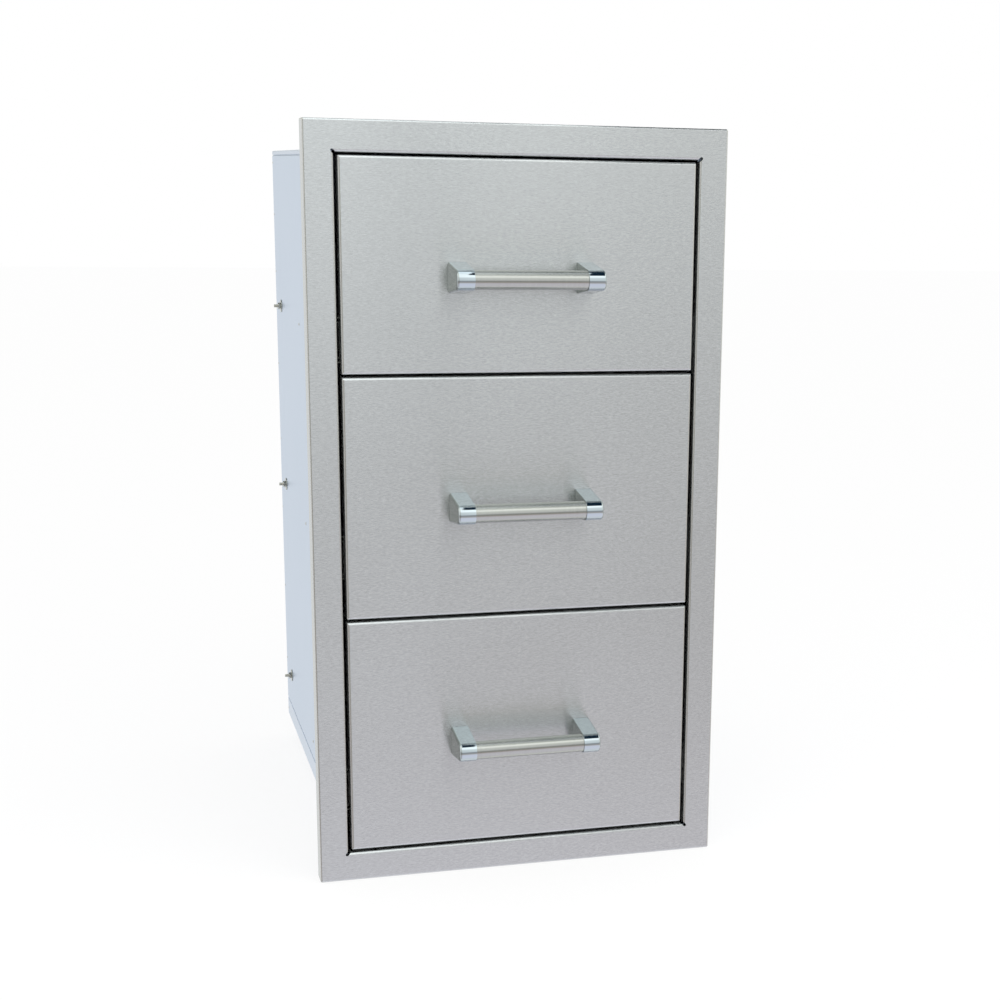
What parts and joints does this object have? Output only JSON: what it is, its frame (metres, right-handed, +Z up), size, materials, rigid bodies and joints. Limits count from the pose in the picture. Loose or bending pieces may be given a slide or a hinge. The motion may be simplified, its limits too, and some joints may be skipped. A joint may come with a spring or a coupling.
{
  "type": "outdoor kitchen drawer unit",
  "caption": "Built-in stainless drawer unit: a box behind a flanged face frame, with drawers on full-extension slides and bar handles between cast posts.",
  "frame": {"origin": "underside of the box, mid-width, where it meets the plane of the face frame's rear edge", "axes": "+Z up, -Y out of the front, +X to the right of someone who faces the drawers"},
  "size_m": [0.4294, 0.5879, 0.7747],
  "materials": {
    "brushed_sheet": "stainless sheet with a fine brushed grain",
    "box_sheet": "smooth stainless sheet",
    "tray_sheet": "plain stainless sheet",
    "zinc_plated": "zinc plated steel",
    "polished_cast": "polished casting",
    "satin_tube": "satin stainless tube"
  },
  "bodies": {
    "cabinet": {"face_frame": "brushed_sheet", "box_top_panel": "box_sheet", "box_bottom_pan": "box_sheet", "box_back_panel": "box_sheet", "box_side_panel_left": "box_sheet", "box_side_panel_right": "box_sheet", "top_slide_box_rail_left": "zinc_plated", "top_slide_bolt_left": "zinc_plated", "top_slide_box_rail_right": "zinc_plated", "top_slide_bolt_right": "zinc_plated", "middle_slide_box_rail_left": "zinc_plated", "middle_slide_bolt_left": "zinc_plated", "middle_slide_box_rail_right": "zinc_plated", "middle_slide_bolt_right": "zinc_plated", "bottom_slide_box_rail_left": "zinc_plated", "bottom_slide_bolt_left": "zinc_plated", "bottom_slide_box_rail_right": "zinc_plated", "bottom_slide_bolt_right": "zinc_plated"},
    "top_drawer": {"top_drawer_front_skin": "brushed_sheet", "top_drawer_front_liner": "tray_sheet", "top_drawer_tray_pan": "tray_sheet", "top_drawer_tray_back": "tray_sheet", "top_drawer_handle_tube": "satin_tube", "top_drawer_handle_post_left": "polished_cast", "top_drawer_handle_screw_left": "zinc_plated", "top_slide_drawer_rail_left": "zinc_plated", "top_drawer_handle_post_right": "polished_cast", "top_drawer_handle_screw_right": "zinc_plated", "top_slide_drawer_rail_right": "zinc_plated"},
    "top_slide_middle": {"top_slide_middle_rail_left": "zinc_plated", "top_slide_middle_rail_right": "zinc_plated"},
    "middle_drawer": {"middle_drawer_front_skin": "brushed_sheet", "middle_drawer_front_liner": "tray_sheet", "middle_drawer_tray_pan": "tray_sheet", "middle_drawer_tray_back": "tray_sheet", "middle_drawer_handle_tube": "satin_tube", "middle_drawer_handle_post_left": "polished_cast", "middle_drawer_handle_screw_left": "zinc_plated", "middle_slide_drawer_rail_left": "zinc_plated", "middle_drawer_handle_post_right": "polished_cast", "middle_drawer_handle_screw_right": "zinc_plated", "middle_slide_drawer_rail_right": "zinc_plated"},
    "middle_slide_middle": {"middle_slide_middle_rail_left": "zinc_plated", "middle_slide_middle_rail_right": "zinc_plated"},
    "bottom_drawer": {"bottom_drawer_front_skin": "brushed_sheet", "bottom_drawer_front_liner": "tray_sheet", "bottom_drawer_tray_pan": "tray_sheet", "bottom_drawer_tray_back": "tray_sheet", "bottom_drawer_handle_tube": "satin_tube", "bottom_drawer_handle_post_left": "polished_cast", "bottom_drawer_handle_screw_left": "zinc_plated", "bottom_slide_drawer_rail_left": "zinc_plated", "bottom_drawer_handle_post_right": "polished_cast", "bottom_drawer_handle_screw_right": "zinc_plated", "bottom_slide_drawer_rail_right": "zinc_plated"},
    "bottom_slide_middle": {"bottom_slide_middle_rail_left": "zinc_plated", "bottom_slide_middle_rail_right": "zinc_plated"}
  },
  "joints": [
    {"name": "top_drawer_slide", "type": "slide", "parent": "cabinet", "child": "top_drawer", "axis": [0, -1, 0], "range_m": [0, 0.48]},
    {"name": "top_middle_slide", "type": "slide", "parent": "cabinet", "child": "top_slide_middle", "axis": [0, -1, 0], "range_m": [0, 0.24]},
    {"name": "middle_drawer_slide", "type": "slide", "parent": "cabinet", "child": "middle_drawer", "axis": [0, -1, 0], "range_m": [0, 0.48]},
    {"name": "middle_middle_slide", "type": "slide", "parent": "cabinet", "child": "middle_slide_middle", "axis": [0, -1, 0], "range_m": [0, 0.24]},
    {"name": "bottom_drawer_slide", "type": "slide", "parent": "cabinet", "child": "bottom_drawer", "axis": [0, -1, 0], "range_m": [0, 0.48]},
    {"name": "bottom_middle_slide", "type": "slide", "parent": "cabinet", "child": "bottom_slide_middle", "axis": [0, -1, 0], "range_m": [0, 0.24]}
  ],
  "couplings": [
    {"joint": "top_middle_slide", "follows": "top_drawer_slide", "ratio": 0.5},
    {"joint": "middle_middle_slide", "follows": "middle_drawer_slide", "ratio": 0.5},
    {"joint": "bottom_middle_slide", "follows": "bottom_drawer_slide", "ratio": 0.5}
  ]
}
